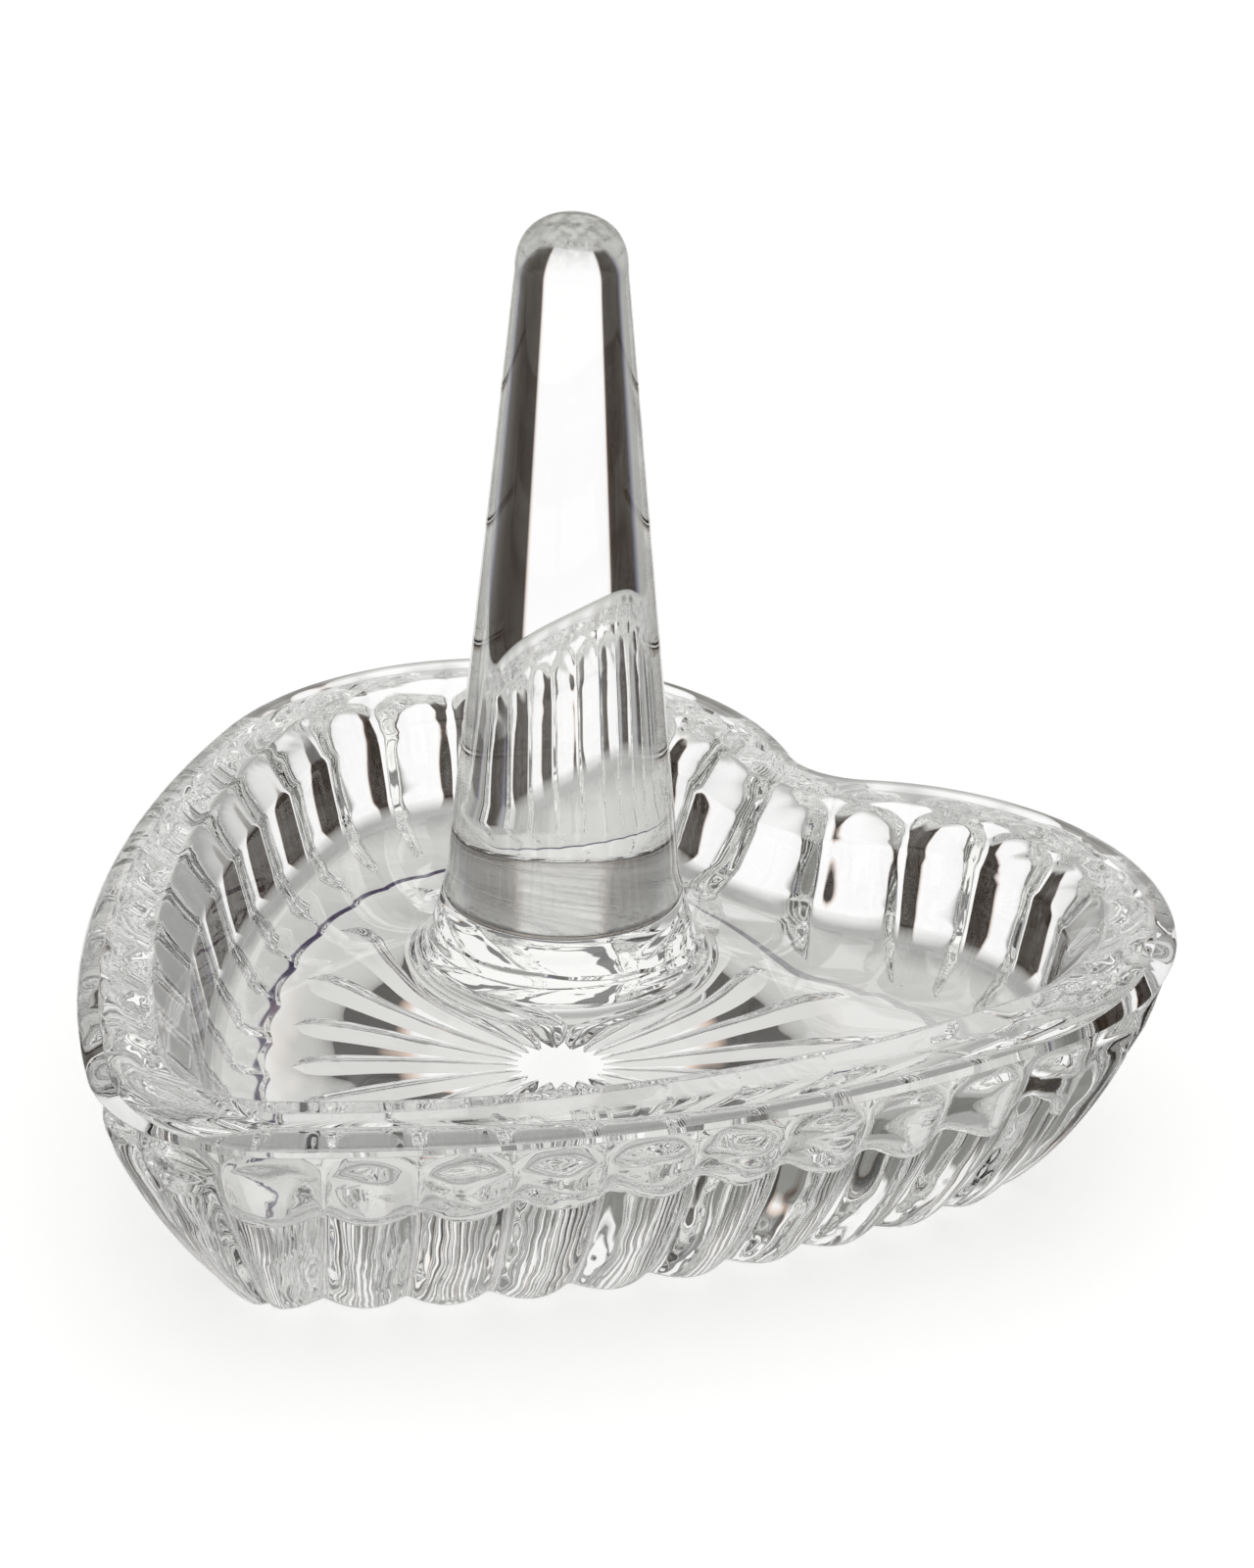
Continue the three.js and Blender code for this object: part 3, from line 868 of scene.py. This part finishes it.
def studio_ramp(tree, vector, window):
    """Studio's colours by heading: white panels before and behind, and dark flags at the sides."""
    stops = LEFT_CARDS + window + RIGHT_CARDS
    parts = []
    for turn in (0, math.pi / 2):
        dot = tree.nodes.new("ShaderNodeVectorMath")
        dot.operation = "DOT_PRODUCT"
        heading = STUDIO_HEADING - turn
        dot.inputs[1].default_value = (math.cos(heading), math.sin(heading), 0)
        tree.links.new(vector, dot.inputs[0])
        parts.append(dot.outputs["Value"])
    angle = linked_math(tree, "ARCTAN2", parts[1], parts[0])
    ramp = tree.nodes.new("ShaderNodeValToRGB")
    tree.links.new(linked_range(tree, angle, -math.pi, math.pi), ramp.inputs["Fac"])
    elements = ramp.color_ramp.elements
    while len(elements) < len(stops):
        elements.new(0.5)
    for element, (degrees, _) in zip(elements, stops):
        element.position = (degrees + 180) / 360
    for element, (_, colour) in zip(elements, stops):
        element.color = (*colour, 1)
    return ramp.outputs["Color"]


def seen_in_glass(tree):
    """1 for a ray that glass has mirrored or bent, and 0 for any other."""
    path = tree.nodes.new("ShaderNodeLightPath")
    return linked_math(tree, "MAXIMUM", path.outputs["Is Glossy Ray"], path.outputs["Is Transmission Ray"])


def switch_surface(tree, factor, first, second):
    """Surface of the first shader where the factor is 0 and of the second where it is 1."""
    choice = tree.nodes.new("ShaderNodeMixShader")
    tree.links.new(factor, choice.inputs["Fac"])
    tree.links.new(first.outputs[0], choice.inputs[1])
    tree.links.new(second.outputs[0], choice.inputs[2])
    tree.links.new(choice.outputs[0], tree.nodes["Material Output"].inputs["Surface"])


def floor_material():
    """Pale floor that the camera sees and that glass looks through."""
    material, tree, shader = new_material("floor_white", FLOOR_COLOUR)
    shader.inputs["Roughness"].default_value = 1
    shader.inputs["Specular IOR Level"].default_value = 0
    shader.inputs["Emission Color"].default_value = (1, 1, 1, 1)
    shader.inputs["Emission Strength"].default_value = FLOOR_GLOW
    switch_surface(tree, seen_in_glass(tree), shader, tree.nodes.new("ShaderNodeBsdfTransparent"))
    return material


def contact_mesh():
    """Rings round the base's edge, with the painted shade's grey and cover at each point."""
    edge = outer_rings()[0][::SHADE_STEP, :2]
    reach = np.linalg.norm(edge, axis=1, keepdims=True)
    rings = []
    shades = []
    for offset, colour, cover in TABLE_STOPS:
        ring = edge * np.maximum(TABLE_MIDDLE, 1 + offset / reach)
        rings.append(ring)
        # Painted light and shade: the table's shade is lighter behind the object and darker towards the
        # camera
        backlit = 1 + TABLE_BACKLIGHT * np.clip(ring @ forward / TABLE_SPAN, -1, 1)
        # Painted light: the dark contact-shadow line at the base's edge is lightened towards the right,
        # towards the table's middle grey
        side_light = np.clip(ring @ rightward / EDGE_SHADOW_LIGHTENING_SPAN, 0, 1) * (EDGE_SHADOW_LIGHTENING if colour == EDGE_SHADOW else 0)
        for bright, side_lit in zip(backlit, side_light):
            shade = np.array(colour) + (np.array(TABLE_SOFT) - np.array(colour)) * side_lit
            shades.append((*(shade * bright), cover))
    mesh = bpy.data.meshes.new("contact_shade")
    mesh.from_pydata([(x * MM, y * MM, 0) for x, y in np.concatenate(rings)], [], lofted(rings))
    greys = mesh.color_attributes.new("grey", "FLOAT_COLOR", "POINT")
    greys.data.foreach_set("color", np.array(shades).ravel())
    return mesh


def contact_material():
    """Shade on the table that only mirrored and bent rays see."""
    material = bpy.data.materials.new("contact_shade")
    material.use_nodes = True
    tree = material.node_tree
    table = tree.nodes.new("ShaderNodeAttribute")
    table.attribute_name = "grey"
    lit_table = tree.nodes.new("ShaderNodeEmission")
    tree.links.new(table.outputs["Color"], lit_table.inputs["Color"])
    cover = linked_math(tree, "MULTIPLY", seen_in_glass(tree), table.outputs["Alpha"])
    switch_surface(tree, cover, tree.nodes.new("ShaderNodeBsdfTransparent"), lit_table)
    return material


forward = np.array((math.cos(STUDIO_HEADING), math.sin(STUDIO_HEADING)))
rightward = np.array((forward[1], -forward[0]))

half = FLOOR_HALF_WIDTH
floor_corners = [(-half, -half, 0), (half, -half, 0), (half, half, 0), (-half, half, 0)]
floor_mesh = bpy.data.meshes.new("floor")
floor_mesh.from_pydata(floor_corners, [], [(0, 1, 2, 3)])
floor_mesh.materials.append(floor_material())
floor = bpy.data.objects.new("floor", floor_mesh)
floor.location.z = -FLOOR_DEPTH
bpy.context.scene.collection.objects.link(floor)

shade_mesh = contact_mesh()
shade_mesh.materials.append(contact_material())
contact = bpy.data.objects.new("contact_shade", shade_mesh)
contact.location.z = -TABLE_DEPTH
bpy.context.scene.collection.objects.link(contact)

world = bpy.data.worlds.new("studio")
bpy.context.scene.world = world
world.use_nodes = True
tree = world.node_tree
way = tree.nodes.new("ShaderNodeTexCoord").outputs["Generated"]
axes = tree.nodes.new("ShaderNodeSeparateXYZ")
tree.links.new(way, axes.inputs[0])
height = axes.outputs["Z"]
below = studio_ramp(tree, way, LOWER_WINDOW)
above = studio_ramp(tree, way, UPPER_WINDOW)
around = mixed(tree, linked_range(tree, height, *HORIZON), below, above)
ahead = tree.nodes.new("ShaderNodeVectorMath")
ahead.operation = "DOT_PRODUCT"
ahead.inputs[1].default_value = (*forward, 0)
tree.links.new(way, ahead.inputs[0])
strip_foot = linked_range(tree, height, *STRIP_FOOT)
strip_top = linked_range(tree, height, *STRIP_TOP, 1, 0)
strip_ahead = linked_range(tree, ahead.outputs["Value"], *STRIP_AHEAD)
strip = linked_math(tree, "MULTIPLY", linked_math(tree, "MULTIPLY", strip_foot, strip_top), strip_ahead)
dimmed = mixed(tree, strip, around, FORWARD_DIM, "MULTIPLY")
gapped = mixed(tree, linked_range(tree, height, *GAP_FOOT), dimmed, GAP_DARK)
crowned = mixed(tree, linked_range(tree, height, *CROWN_FOOT), gapped, TOP_WHITE)
lit = mixed(tree, linked_range(tree, height, *NADIR_TOP), crowned, NADIR_GREY)
path = tree.nodes.new("ShaderNodeLightPath")
shown = mixed(tree, path.outputs["Is Camera Ray"], lit, (1, 1, 1))
tree.links.new(shown, tree.nodes["Background"].inputs["Color"])

# Camera at the photograph's viewing angle
CAMERA_PLACE = (347.35, -426.58, 296.05)
CAMERA_TARGET = (4.455, 3.551, 36.678)
CAMERA_ROLL = math.radians(1.078)
FOCAL_PIXELS = 6831.7
FRAME_HEIGHT = 1600
SENSOR_WIDTH = 36
NEAR_CLIP = 0.01
FAR_CLIP = 50
camera_data = bpy.data.cameras.new("camera")
camera = bpy.data.objects.new("camera", camera_data)
bpy.context.scene.collection.objects.link(camera)
camera.location = Vector(CAMERA_PLACE) * MM
aim = (Vector(CAMERA_TARGET) - Vector(CAMERA_PLACE)).to_track_quat("-Z", "Y")
camera.rotation_mode = "QUATERNION"
camera.rotation_quaternion = aim @ Quaternion((0, 0, 1), CAMERA_ROLL)
camera_data.sensor_width = SENSOR_WIDTH
camera_data.lens = SENSOR_WIDTH * FOCAL_PIXELS / FRAME_HEIGHT
camera_data.clip_start = NEAR_CLIP
camera_data.clip_end = FAR_CLIP
bpy.context.scene.camera = camera

GLASS_BOUNCES = 32
GLOSSY_BOUNCES = 16
bpy.context.scene.view_settings.view_transform = "Standard"
bpy.context.scene.cycles.max_bounces = GLASS_BOUNCES
bpy.context.scene.cycles.transmission_bounces = GLASS_BOUNCES
bpy.context.scene.cycles.glossy_bounces = GLOSSY_BOUNCES
